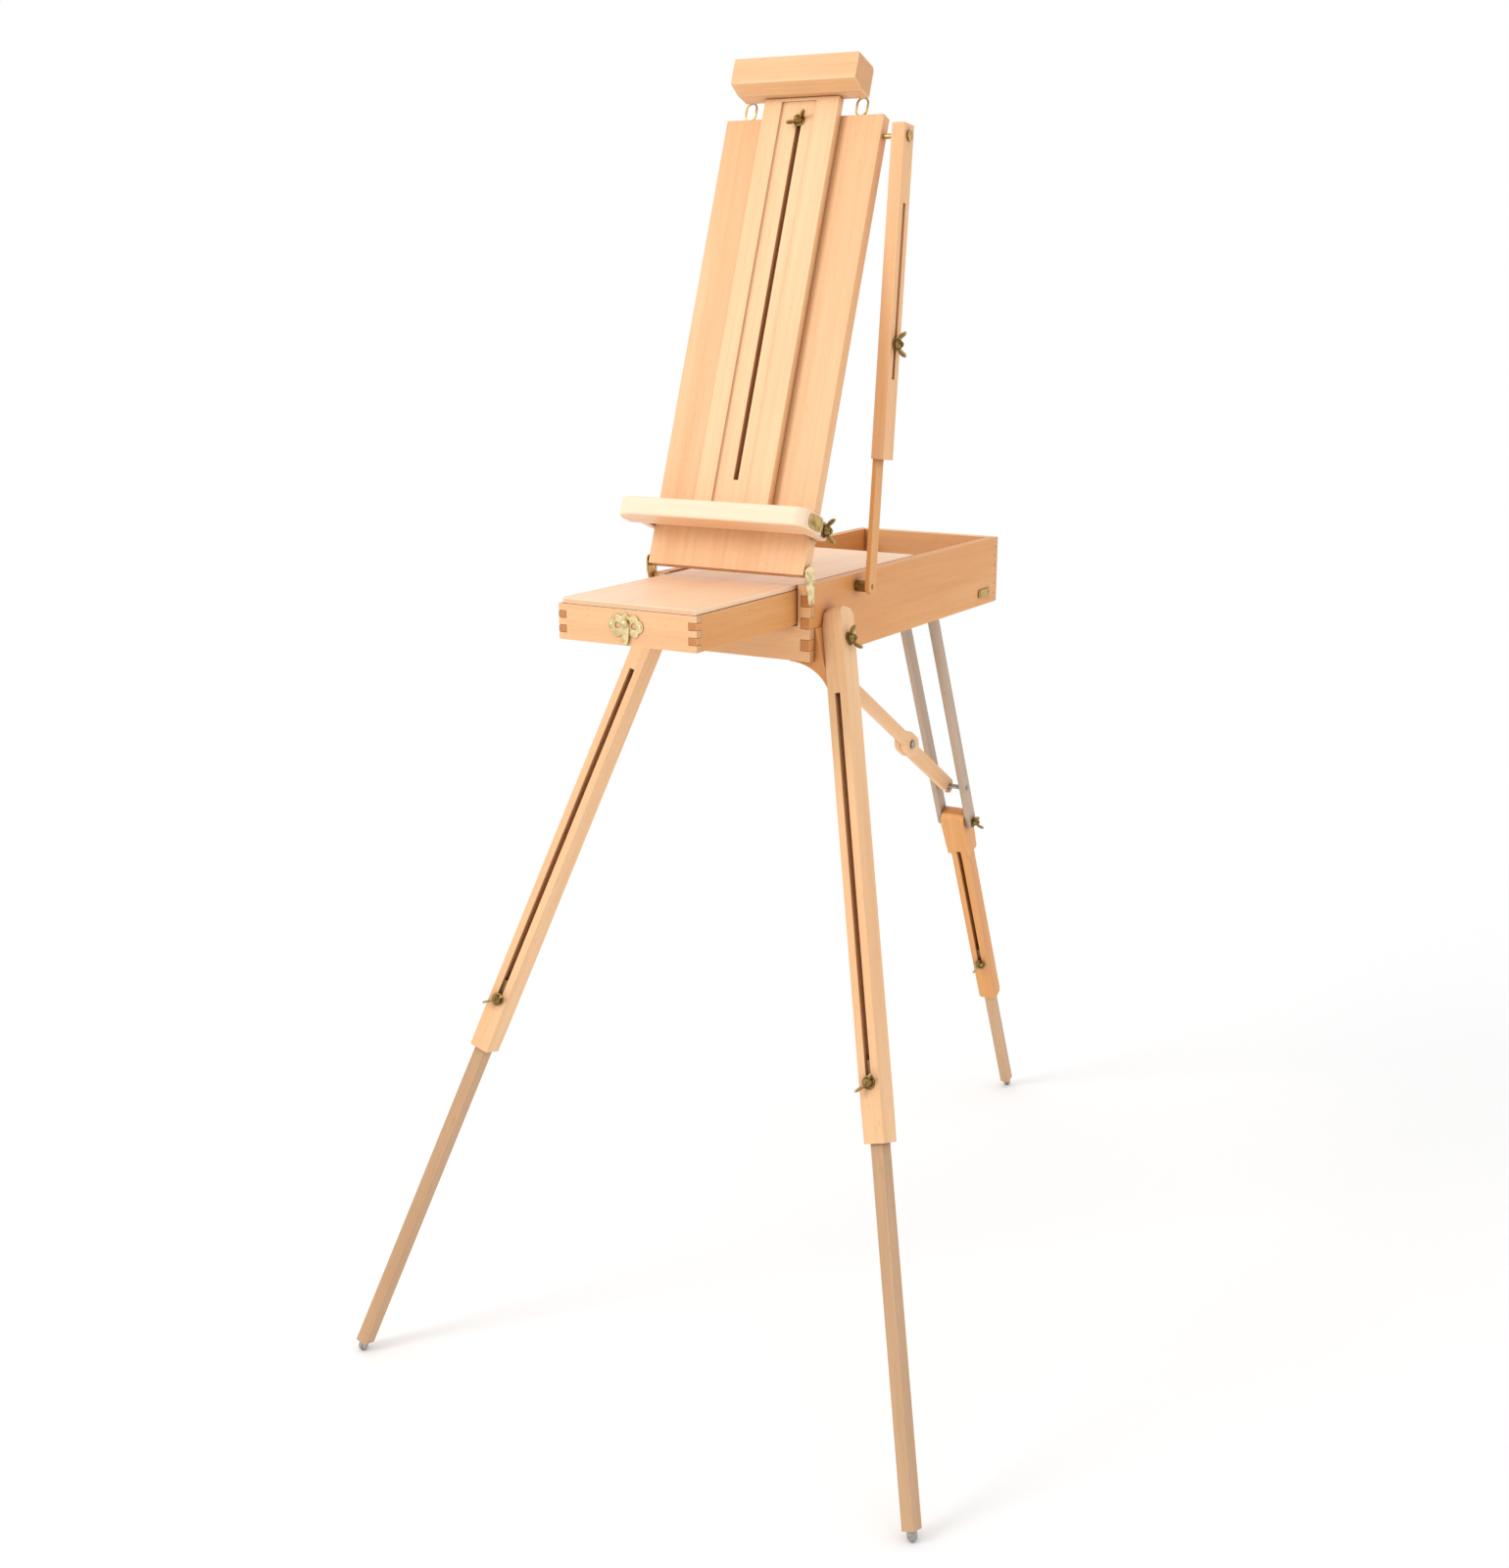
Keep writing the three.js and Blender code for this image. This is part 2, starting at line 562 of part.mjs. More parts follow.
function rearSleeve() {
  const steps = 14;
  const head = stadium(REAR_HALF, -KNEE - 60, -KNEE, steps).slice(0, steps + 1);
  const tail = [[-13, -KNEE - 70], [-13, 8 - REAR_SLEEVE_END], [-11, -REAR_SLEEVE_END]];
  const outline = [...head, ...tail, ...tail.map(([y, z]) => [-y, z]).reverse()];
  return cut(
    prismX(outline, -REAR_HALF, REAR_HALF),
    block(13, 30, -30, 30, -REAR_SLEEVE_END - 1, -KNEE - 60),
    block(-30, -13, -30, 30, -REAR_SLEEVE_END - 1, -KNEE - 60),
    block(-7.8, 7.8, -8.3, 8.3, -REAR_SLEEVE_END - 1, -KNEE - 30),
    block(-3.5, 3.5, -30, 0, -REAR_SLOT[1], -REAR_SLOT[0]),
    rodX(4.3, -30, 30, 0, -KNEE),
  );
}

function buildRearLeg() {
  const x = new THREE.Vector3(1, 0, 0);
  const place = (g) => framed(g, REAR_PIVOT, x, rearDown.clone().negate());
  const slat = cut(
    prismX(stadium(FORK_HALF + 2, -KNEE, 0), ...FORK_X),
    ...[[4.3, 0], [3.8, -HOOK], [4.3, -KNEE]].map(([r, z]) => rodX(r, 15, 35, 0, z)),
  );
  addPair('fork_slat', place(slat), BEECH_DARK);
  add('hook_pin', place(rodX(3.5, -FORK_X[1] - 1, FORK_X[1] + 1, 0, -HOOK)), STEEL());
  add('knee_wing', place(sideWing(FORK_X[1] + GAP, 0, -KNEE, 2 * FORK_X[1] + 4)), BRASS());
  add('rear_sleeve', place(rearSleeve()), BEECH());
  add('rear_inner', place(innerLeg(REAR_BOLT - 25, REAR_LENGTH - 6 - GAP, 7.5, 8, REAR_BOLT)), BEECH_DARK());
  add('rear_tip', place(footTip(REAR_LENGTH)), STEEL());
  add('rear_wing', place(frontWing(-13 - GAP, -REAR_BOLT, 12, 1)), BRASS());
}

// ---- diagonal brace: two slats pinned at the elbow, hooked over the fork's pin ----
function buildBrace() {
  const hook = rearDown.clone().multiplyScalar(HOOK).add(REAR_PIVOT);
  const down = hook.clone().sub(BRACE_PIVOT);
  const length = down.length();
  const place = (g) => framed(g, BRACE_PIVOT, new THREE.Vector3(1, 0, 0), down.clone().negate());
  const elbow = rodX(3.3, -20, 20, 0, -BRACE_ELBOW);
  const upper = unite(
    prismX(stadium(9, -BRACE_ELBOW, 0), 0.4, 8.4),
    prismX(stadium(15, -BRACE_ELBOW - 10, -BRACE_ELBOW + 10), 0.4, 8.4),
  );
  add('brace_upper', place(cut(upper, elbow, rodX(3.8, -5, 20, 0, 0))), BEECH_DARK());
  const lower = unite(
    prismX(stadium(11, -length, -BRACE_ELBOW), -8.4, -0.4),
    prismX(stadium(15, -BRACE_ELBOW - 10, -BRACE_ELBOW + 10), -8.4, -0.4),
  );
  const mouth = prismX([[0, 3.9 - length], [-20.9, 17.6 - length], [-20.9, -3.9 - length], [0, -3.9 - length]], -9, 0);
  add('brace_lower', place(cut(lower, elbow, mouth, rodX(3.9, -9, 0, 0, -length))), BEECH_DARK());
  add('brace_bolt', place(unite(rodX(3, -8.5, 8.5, 0, -BRACE_ELBOW), rodX(6, 8.7, 11, 0, -BRACE_ELBOW),
    rodX(3, 8, 9, 0, -BRACE_ELBOW))), STEEL());
}

buildBox();
buildDrawer();
buildLid();
buildStay();
buildFrontLegs();
buildRearLeg();
buildBrace();

export default easel;
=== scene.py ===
import json
import math

import bmesh
import bpy
from mathutils import Matrix, Vector


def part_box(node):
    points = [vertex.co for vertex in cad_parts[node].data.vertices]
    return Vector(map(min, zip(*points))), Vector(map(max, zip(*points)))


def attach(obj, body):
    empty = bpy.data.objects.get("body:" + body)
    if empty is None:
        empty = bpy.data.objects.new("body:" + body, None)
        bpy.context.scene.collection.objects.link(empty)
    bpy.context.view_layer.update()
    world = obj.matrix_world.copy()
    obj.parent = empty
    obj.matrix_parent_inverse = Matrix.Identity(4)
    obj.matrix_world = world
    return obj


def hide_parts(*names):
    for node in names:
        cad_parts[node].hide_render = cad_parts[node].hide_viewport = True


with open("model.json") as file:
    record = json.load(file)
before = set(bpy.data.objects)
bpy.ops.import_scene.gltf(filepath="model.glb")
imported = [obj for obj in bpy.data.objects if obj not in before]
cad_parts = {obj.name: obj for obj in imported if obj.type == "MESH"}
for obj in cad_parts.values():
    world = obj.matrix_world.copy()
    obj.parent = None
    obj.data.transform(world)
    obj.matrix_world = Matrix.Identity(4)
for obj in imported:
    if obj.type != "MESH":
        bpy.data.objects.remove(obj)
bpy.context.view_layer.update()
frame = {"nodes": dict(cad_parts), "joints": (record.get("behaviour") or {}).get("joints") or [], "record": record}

# Metres, in the frame of the CAD model. The easel faces -Y and stands on z = 0.
MM = 0.001
IMAGE = (1540, 1600)

# ---------------------------------------------------------------- camera
CAMERA_AT = Vector((1.12546, -2.20250, 1.30141))
CAMERA_AZIMUTH = math.radians(29.008)
CAMERA_ELEVATION = math.radians(14.638)
CAMERA_ROLL = math.radians(0.344)
FOCAL_PX = 1904.85
CENTRE_PX = (808.5, 808.7)
SENSOR_MM = 36.0


def make_camera():
    data = bpy.data.cameras.new("camera")
    data.sensor_width = SENSOR_MM
    data.lens = FOCAL_PX / max(IMAGE) * SENSOR_MM
    data.shift_x = (IMAGE[0] / 2 - CENTRE_PX[0]) / max(IMAGE)
    data.shift_y = (CENTRE_PX[1] - IMAGE[1] / 2) / max(IMAGE)
    a, e = CAMERA_AZIMUTH, CAMERA_ELEVATION
    back = Vector((math.sin(a) * math.cos(e), -math.cos(a) * math.cos(e), math.sin(e)))
    right = (-back).cross(Vector((0, 0, 1))).normalized()
    up = right.cross(-back)
    c, s = math.cos(CAMERA_ROLL), math.sin(CAMERA_ROLL)
    turn = Matrix((right * c + up * s, up * c - right * s, back)).transposed()
    camera = bpy.data.objects.new("camera", data)
    camera.matrix_world = Matrix.Translation(CAMERA_AT) @ turn.to_4x4()
    bpy.context.scene.collection.objects.link(camera)
    bpy.context.scene.camera = camera


# ---------------------------------------------------------------- materials
def srgb(r, g, b):
    """A colour given as 0 to 255 display values, as linear RGBA."""
    def linear(v):
        v /= 255
        return v / 12.92 if v <= 0.04045 else ((v + 0.055) / 1.055) ** 2.4
    return (linear(r), linear(g), linear(b), 1.0)


def node(tree, kind, inputs=None, **settings):
    n = tree.nodes.new(kind)
    for key, value in settings.items():
        setattr(n, key, value)
    for key, value in (inputs or {}).items():
        if isinstance(value, bpy.types.NodeSocket):
            tree.links.new(value, n.inputs[key])
        else:
            n.inputs[key].default_value = value
    return n


def scaled(tree, vector, scale):
    return node(tree, "ShaderNodeVectorMath", {0: vector, 1: scale}, operation="MULTIPLY").outputs[0]


def noise(tree, vector, scale, detail=2.0, roughness=0.5, distortion=0.0):
    inputs = {
        "Vector": vector, "Scale": scale, "Detail": detail, "Roughness": roughness, "Distortion": distortion,
    }
    return node(tree, "ShaderNodeTexNoise", inputs).outputs["Fac"]


def ranged(tree, value, low, high, to_low=0.0, to_high=1.0):
    inputs = {"Value": value, "From Min": low, "From Max": high, "To Min": to_low, "To Max": to_high}
    return node(tree, "ShaderNodeMapRange", inputs).outputs[0]


def mixed(tree, factor, a, b, blend="MIX"):
    n = node(tree, "ShaderNodeMix", data_type="RGBA", blend_type=blend)
    for key, value in ((0, factor), (6, a), (7, b)):
        if isinstance(value, bpy.types.NodeSocket):
            tree.links.new(value, n.inputs[key])
        else:
            n.inputs[key].default_value = value
    return n.outputs[2]


def product(tree, a, b):
    return node(tree, "ShaderNodeMath", {0: a, 1: b}, operation="MULTIPLY").outputs[0]


def attribute(tree, name):
    return node(tree, "ShaderNodeAttribute", attribute_name=name)


def new_material(name):
    material = bpy.data.materials.new(name)
    material.use_nodes = True
    tree = material.node_tree
    return material, tree, tree.nodes["Principled BSDF"]


def wood(name, light, warm, line, edge, crevice_shade, roughness=0.46):
    """Varnished beech: growth lines along the grain, short dark flecks, soft patches, paler worn edges, and
    painted shade darkening its corners and gaps.
    """
    material, tree, shader = new_material(name)
    grain = attribute(tree, "grain").outputs["Vector"]
    wander = noise(tree, scaled(tree, grain, (1, 1, 0.2)), 9.0, 2.0)
    streaks = noise(tree, scaled(tree, grain, (1, 1, 0.035)), 75.0, 6.0, 0.6, 0.4)
    fine = noise(tree, scaled(tree, grain, (1, 1, 0.02)), 420.0, 3.0, 0.6)
    flecks = noise(tree, scaled(tree, grain, (1, 1, 0.14)), 560.0, 1.0)
    patches = noise(tree, scaled(tree, grain, (1, 1, 0.3)), 6.0, 2.0)
    bands = node(tree, "ShaderNodeTexWave", {
        "Vector": scaled(tree, grain, (1, 0.35, 0.05)), "Scale": 26.0, "Distortion": 5.5,
        "Detail": 2.0, "Detail Scale": 1.2, "Detail Roughness": 0.55,
    }, wave_type="BANDS", bands_direction="X").outputs["Fac"]
    colour = mixed(tree, ranged(tree, patches, 0.36, 0.66), light, warm)
    colour = mixed(tree, ranged(tree, streaks, 0.42, 0.72, 0.0, 0.25), colour, line)
    colour = mixed(tree, ranged(tree, bands, 0.55, 1.0, 0.0, 0.09), colour, line)
    colour = mixed(tree, ranged(tree, fine, 0.5, 0.75, 0.0, 0.22), colour, line)
    colour = mixed(tree, ranged(tree, flecks, 0.66, 0.74, 0.0, 0.40), colour, line)
    colour = mixed(tree, ranged(tree, wander, 0.5, 0.8, 0.0, 0.25), colour, light)
    colour = mixed(tree, product(tree, attribute(tree, "endgrain").outputs["Fac"], 0.75), colour, line)
    colour = mixed(tree, product(tree, attribute(tree, "edge").outputs["Fac"], 0.55), colour, edge)
    # Painted shade: an ambient occlusion mask pulls the colour towards the dark crevice colour in corners and
    # gaps, where shade falls.
    corners = node(tree, "ShaderNodeAmbientOcclusion", {"Distance": 0.012}, samples=6).outputs["AO"]
    colour = mixed(tree, ranged(tree, corners, 0.30, 0.95, 0.80, 0.0), colour, crevice_shade)
    relief = node(tree, "ShaderNodeBump", {"Strength": 0.22, "Distance": 0.0004, "Height": fine}).outputs[0]
    tree.links.new(colour, shader.inputs["Base Color"])
    gloss = ranged(tree, streaks, 0.3, 0.7, roughness - 0.05, roughness + 0.09)
    tree.links.new(gloss, shader.inputs["Roughness"])
    tree.links.new(relief, shader.inputs["Normal"])
    shader.inputs["Coat Weight"].default_value = 0.12
    shader.inputs["Coat Roughness"].default_value = 0.35
    shader.inputs["Specular IOR Level"].default_value = 0.42
    return material


def metal(name, bright, tarnish, edge, roughness):
    """Cast and rolled fittings: cloudy tarnish that gathers in the corners, bright rubbed edges."""
    material, tree, shader = new_material(name)
    grain = attribute(tree, "grain").outputs["Vector"]
    clouds = noise(tree, grain, 160.0, 4.0, 0.6)
    scratches = noise(tree, scaled(tree, grain, (1, 0.08, 1)), 1600.0, 2.0)
    corners = node(tree, "ShaderNodeAmbientOcclusion", {"Distance": 0.004}, samples=6).outputs["AO"]
    colour = mixed(tree, ranged(tree, clouds, 0.42, 0.70, 0.0, 0.75), bright, tarnish)
    colour = mixed(tree, ranged(tree, corners, 0.30, 0.90, 0.85, 0.0), colour, tarnish)
    colour = mixed(tree, product(tree, attribute(tree, "edge").outputs["Fac"], 0.6), colour, edge)
    bump = {"Strength": 0.15, "Distance": 0.0002, "Height": scratches}
    relief = node(tree, "ShaderNodeBump", bump).outputs[0]
    tree.links.new(colour, shader.inputs["Base Color"])
    gloss = ranged(tree, clouds, 0.3, 0.7, roughness - 0.08, roughness + 0.16)
    tree.links.new(gloss, shader.inputs["Roughness"])
    tree.links.new(relief, shader.inputs["Normal"])
    shader.inputs["Metallic"].default_value = 1.0
    return material


# The fifth colour of each wood is the painted shade that its corners and gaps darken towards.
LOOKS = {
    "beech": wood("beech", srgb(240, 194, 145), srgb(234, 180, 127), srgb(206, 147, 94), srgb(247, 213, 170),
                  srgb(150, 88, 44)),
    "beech_pale": wood("beech_pale", srgb(250, 218, 184), srgb(246, 206, 168), srgb(224, 176, 134),
                       srgb(253, 230, 204), srgb(166, 108, 66)),
    # Painted shade: the beech again, darker and more orange, for the parts that turn away from the key light, such
    # as the right-hand sides and the rear sleeve.
    "beech_shaded": wood("beech_shaded", srgb(227, 164, 96), srgb(218, 148, 82), srgb(188, 118, 60),
                       srgb(241, 195, 136), srgb(130, 70, 30)),
    "beech_tan": wood("beech_tan", srgb(206, 168, 130), srgb(194, 152, 112), srgb(150, 110, 76),
                      srgb(222, 190, 152), srgb(104, 66, 40), 0.52),
    "beech_grey": wood("beech_grey", srgb(194, 170, 148), srgb(182, 156, 132), srgb(140, 116, 94),
                       srgb(212, 192, 170), srgb(96, 74, 56), 0.54),
    "beech_honey": wood("beech_honey", srgb(248, 206, 158), srgb(243, 194, 144), srgb(216, 160, 110),
                        srgb(252, 222, 184), srgb(156, 96, 52)),
    "brass_pale": metal("brass_pale", srgb(244, 222, 168), srgb(158, 128, 76), srgb(253, 241, 204), 0.30),
    "bronze": metal("bronze", srgb(156, 130, 78), srgb(64, 50, 26), srgb(206, 182, 122), 0.38),
    "brass": metal("brass", srgb(205, 172, 104), srgb(92, 68, 34), srgb(240, 216, 150), 0.34),
    "steel": metal("steel", srgb(178, 174, 168), srgb(92, 86, 78), srgb(220, 218, 212), 0.34),
}


# ---------------------------------------------------------------- frames of the moving parts
JOINTS = {j["name"]: j for j in frame["joints"]}
X, Y, Z = Vector((1, 0, 0)), Vector((0, 1, 0)), Vector((0, 0, 1))


def joint_at(name):
    return Vector(JOINTS[name]["pos_m"])


def joint_axis(name):
    return Vector(JOINTS[name]["axis"]).normalized()


def axes(origin, x, z):
    """The matrix of a frame at origin whose own x and z axes point along x and z."""
    z = z.normalized()
    x = (x - z * x.dot(z)).normalized()
    turn = Matrix((x, z.cross(x), z)).transposed()
    return Matrix.Translation(origin) @ turn.to_4x4()


LID = axes(joint_at("lid_tilt"), X, joint_axis("mast_slide"))
REAR = axes(joint_at("rear_fold"), X, -joint_axis("rear_slide"))
STAY = axes(joint_at("stay_swing"), X, joint_axis("stay_slide"))
LEG = {
    s: axes(joint_at(f"leg_fold_{s}"), joint_axis(f"leg_pivot_spin_{s}"), -joint_axis(f"leg_slide_{s}"))
    for s in ("left", "right")
}


def move(x, y, z):
    return Matrix.Translation(Vector((x, y, z)))


# ---------------------------------------------------------------- mesh helpers
SHARP = math.radians(35)
made = 0


def ease(bm, width, segments=2, angle=SHARP):
    """Rounds every edge sharper than angle. The new faces' inner vertices get edge = 1."""
    layer = bm.verts.layers.float.get("edge") or bm.verts.layers.float.new("edge")
    if width <= 0:
        return
    edges = [e for e in bm.edges if len(e.link_faces) == 2 and e.calc_face_angle(0) > angle]
    result = bmesh.ops.bevel(
        bm, geom=edges, offset=width, offset_type="OFFSET", segments=segments, profile=0.6,
        affect="EDGES", clamp_overlap=True,
    )
    new = set(result["faces"])
    for v in bm.verts:
        v[layer] = 1.0 if v.link_faces and all(f in new for f in v.link_faces) else 0.0


def cad_mesh(name):
    """The CAD solid as one clean mesh: shared corners joined, flat faces whole."""
    bm = bmesh.new()
    bm.from_mesh(frame["nodes"][name].data)
    bmesh.ops.remove_doubles(bm, verts=bm.verts, dist=2e-6)
    bmesh.ops.dissolve_limit(bm, angle_limit=math.radians(0.6), verts=bm.verts, edges=bm.edges)
    bmesh.ops.recalc_face_normals(bm, faces=bm.faces)
    return bm


def piece(name, bm, body, look, grain, nodes=(), auto_smooth=True):
    """Makes the object, gives it its wood coordinates and look, and lets it ride on its body."""
    global made
    made += 1
    mesh = bpy.data.meshes.new(name)
    if not bm.verts.layers.float.get("edge"):
        bm.verts.layers.float.new("edge")
    bm.to_mesh(mesh)
    bm.free()
    back = grain.inverted()
    offset = Vector((made * 0.37, made * 0.61 % 1.7, made * 0.83 % 2.3))
    values = mesh.attributes.new("grain", "FLOAT_VECTOR", "POINT")
    flat = [c for v in mesh.vertices for c in (back @ v.co + offset)]
    values.data.foreach_set("vector", flat)
    run = (grain.to_3x3() @ Z).normalized()
    ends = mesh.attributes.new("endgrain", "FLOAT", "FACE")
    ends.data.foreach_set("value", [1.0 if abs(p.normal.dot(run)) > 0.9 else 0.0 for p in mesh.polygons])
    for polygon in mesh.polygons:
        polygon.use_smooth = True
    mesh.materials.append(LOOKS[look])
    obj = bpy.data.objects.new(name, mesh)
    bpy.context.scene.collection.objects.link(obj)
    if auto_smooth:
        weighted = obj.modifiers.new("even shading", "WEIGHTED_NORMAL")
        weighted.keep_sharp = True
        weighted.weight = 80
        for e in mesh.edges:
            e.use_edge_sharp = False
    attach(obj, body)
    if nodes:
        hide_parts(*nodes)
    return obj


def along(direction):
    """Wood coordinates whose z axis, the grain, runs along direction."""
    side = X if abs(direction.normalized().x) < 0.9 else Y
    return axes(Vector((0, 0, 0)), side, direction)


BODY_OF = {n: b for b, members in frame["record"]["behaviour"]["bodies"].items() for n in members}


def timber(name, look, direction, width=0.9 * MM, segments=2):
    """A wooden piece with the CAD node's own shape and eased edges."""
    bm = cad_mesh(name)
    ease(bm, width, segments)
    return piece(f"{name}_wood", bm, BODY_OF[name], look, along(direction), (name,))


def round_corner(bm, matrix, x, y, radius, segments=8):
    """Rounds the upright edge that stands at (x, y) in the frame given by matrix."""
    back = matrix.inverted()
    near = 0.3 * MM
    edges = []
    for e in bm.edges:
        ends = [back @ v.co for v in e.verts]
        if all(abs(p.x - x) < near and abs(p.y - y) < near for p in ends):
            edges.append(e)
    bmesh.ops.bevel(
        bm, geom=edges, offset=radius, offset_type="OFFSET", segments=segments, profile=0.5,
        affect="EDGES", clamp_overlap=True,
    )


def fitting(name, look, width=0.3 * MM, segments=2):
    """A metal piece with the CAD node's own shape and eased edges."""
    bm = cad_mesh(name)
    ease(bm, width, segments)
    return piece(f"{name}_metal", bm, BODY_OF[name], look, along(X), (name,))


def join(target, source, matrix=None):
    """Adds source to target, moved by matrix, and frees it."""
    if matrix is not None:
        bmesh.ops.transform(source, matrix=matrix, verts=source.verts)
        if matrix.determinant() < 0:
            bmesh.ops.reverse_faces(source, faces=source.faces)
    mesh = bpy.data.meshes.new("joined")
    source.to_mesh(mesh)
    source.free()
    target.from_mesh(mesh)
    bpy.data.meshes.remove(mesh)
    return target


def lathe(profile, sides=32):
    """Turns a profile of (radius, z) about z. The profile starts and ends on the axis."""
    bm = bmesh.new()
    bm.verts.layers.float.new("edge")
    rings = []
    for r, z in profile:
        if r < 1e-9:
            rings.append([bm.verts.new((0, 0, z))])
            continue
        turn = [2 * math.pi * i / sides for i in range(sides)]
        rings.append([bm.verts.new((r * math.cos(a), r * math.sin(a), z)) for a in turn])
    for low, high in zip(rings, rings[1:]):
        for i in range(sides):
            j = (i + 1) % sides
            corners = [low[i % len(low)], low[j % len(low)], high[j % len(high)], high[i % len(high)]]
            corners = list(dict.fromkeys(corners))
            if len(corners) > 2:
                bm.faces.new(corners)
    bmesh.ops.recalc_face_normals(bm, faces=bm.faces)
    return bm


def smoothed(points, rounds=2):
    """Cuts the corners of a closed outline, Chaikin's way."""
    for _ in range(rounds):
        cut = []
        for a, b in zip(points, points[1:] + points[:1]):
            a, b = Vector(a), Vector(b)
            cut += [tuple(a.lerp(b, 0.25)), tuple(a.lerp(b, 0.75))]
        points = cut
    return points


def circle(x, y, radius, count=24):
    turn = [2 * math.pi * i / count for i in range(count)]
    return [(x + radius * math.cos(a), y + radius * math.sin(a)) for a in turn]


def plate(loops, thickness, rim, rings=2):
    """A flat plate in x and y, from z = 0 to thickness, with holes and a rounded rim."""
    data = bpy.data.curves.new("plate", "CURVE")
    data.dimensions = "2D"
    data.fill_mode = "BOTH"
    data.extrude = thickness / 2 - rim
    data.bevel_depth = rim
    data.bevel_resolution = rings
    data.offset = -rim
    for loop in loops:
        spline = data.splines.new("POLY")
        spline.points.add(len(loop) - 1)
        for point, (x, y) in zip(spline.points, loop):
            point.co = (x, y, 0, 1)
        spline.use_cyclic_u = True
    obj = bpy.data.objects.new("plate", data)
    mesh = bpy.data.meshes.new_from_object(obj)
    bm = bmesh.new()
    bm.from_mesh(mesh)
    bpy.data.objects.remove(obj)
    bpy.data.curves.remove(data)
    bpy.data.meshes.remove(mesh)
    bmesh.ops.remove_doubles(bm, verts=bm.verts, dist=1e-6)
    bmesh.ops.dissolve_limit(bm, angle_limit=math.radians(0.5), verts=bm.verts, edges=bm.edges)
    bmesh.ops.recalc_face_normals(bm, faces=bm.faces)
    bmesh.ops.translate(bm, verts=bm.verts, vec=(0, 0, thickness / 2))
    layer = bm.verts.layers.float.new("edge")
    for v in bm.verts:
        v[layer] = 1.0 if 1e-6 < v.co.z < thickness - 1e-6 else 0.0
    return bm


def slotted_screw(radius, height):
    """A domed screw head on z = 0 with a slot across it."""
    arc = [math.radians(90 * i / 5) for i in range(6)]
    rim = height * 0.25
    profile = [(0, -0.5 * MM), (radius, -0.5 * MM), (radius, rim)]
    profile += [(radius * math.cos(a), rim + (height - rim) * math.sin(a)) for a in arc[1:-1]] + [(0, height)]
    bm = lathe(profile, 24)
    half = radius * 0.16
    for y in (-half, half):
        everything = bm.verts[:] + bm.edges[:] + bm.faces[:]
        bmesh.ops.bisect_plane(bm, geom=everything, plane_co=(0, y, 0), plane_no=(0, 1, 0))
    floor = height * 0.35
    for v in bm.verts:
        if abs(v.co.y) < half * 0.99 and v.co.z > floor:
            v.co.z = floor
    return bm


# ---------------------------------------------------------------- wing nuts
EAR = [(2.4, 2.6), (8.5, 3.0), (13.4, 7.2), (15.4, 12.6), (13.4, 14.6), (9.6, 12.8), (6.2, 7.6), (2.4, 7.4)]
WASHER = [(0, 0), (7.6, 0), (8.0, 0.4), (8.0, 1.0), (7.6, 1.5), (5.2, 1.6), (0, 1.6)]
HUB = [(0, 1.2), (5.4, 1.2), (5.9, 1.9), (5.7, 3.4), (4.9, 5.6), (4.4, 7.4), (3.9, 8.2), (2.9, 8.5), (0, 8.5)]


def wing_nut(name, body, joint, across, stud, size=1.0, turn=0.0, stud_radius=2.5):
    """A cast wing nut with two ears, on a washer, over the threaded end of its bolt."""
    scale = size * MM
    bm = lathe([(r * scale, z * scale) for r, z in WASHER], 36)
    join(bm, lathe([(r * scale, z * scale) for r, z in HUB], 36))
    thread = [(0, 7.6)]
    for i in range(4):
        thread += [(stud_radius / size, 7.8 + i * 0.6), (0.86 * stud_radius / size, 8.1 + i * 0.6)]
    thread.append((0, 10.0))
    join(bm, lathe([(r * scale, z * scale) for r, z in thread], 24))
    if stud:
        rod = [(0, -stud), (stud_radius - 0.3, -stud), (stud_radius, 0.5 - stud)]
        rod += [(stud_radius, 0.8), (0, 0.8)]
        join(bm, lathe([(r * MM, z * MM) for r, z in rod], 24))
    for side in (0, math.pi):
        ear = plate([[(x * scale, z * scale) for x, z in smoothed(EAR)]], 2.7 * scale, 1.1 * scale, 3)
        upright = Matrix.Rotation(side, 4, "Z") @ Matrix.Rotation(math.pi / 2, 4, "X")
        join(bm, ear, upright @ move(0, 0, -1.35 * scale))
    place = axes(joint_at(joint), across, joint_axis(joint)) @ Matrix.Rotation(math.radians(turn), 4, "Z")
    bmesh.ops.transform(bm, matrix=place, verts=bm.verts)
    return piece(f"{name}_nut", bm, body, "bronze", along(X), (name,))


def make_wing_nuts():
    up = LID.to_3x3() @ Z
    wing_nut("mast_wing", "mast_nut", "mast_nut_spin", X, 19, 0.9, 35)
    wing_nut("ledge_wing", "ledge_nut", "ledge_nut_spin", up, 0, 1.0, 20)
    wing_nut("stay_wing", "stay_nut", "stay_nut_spin", STAY.to_3x3() @ Z, 9.5, 1.0, 8)
    for side in ("left", "right"):
        leg_up = LEG[side].to_3x3() @ Z
        leg_out = LEG[side].to_3x3() @ X
        pivot = (f"leg_pivot_wing_{side}", f"leg_pivot_nut_{side}", f"leg_pivot_spin_{side}")
        slot = (f"leg_slot_wing_{side}", f"leg_slot_nut_{side}", f"leg_nut_spin_{side}")
        wing_nut(*pivot, leg_up, 28.5, 1.0, 25)
        wing_nut(*slot, leg_out, 14, 1.0, 40)
    wing_nut("knee_wing", "knee_nut", "knee_nut_spin", REAR.to_3x3() @ Z, 59, 1.0, 15)
    wing_nut("rear_wing", "rear_nut", "rear_nut_spin", X, 12, 1.0, 50)


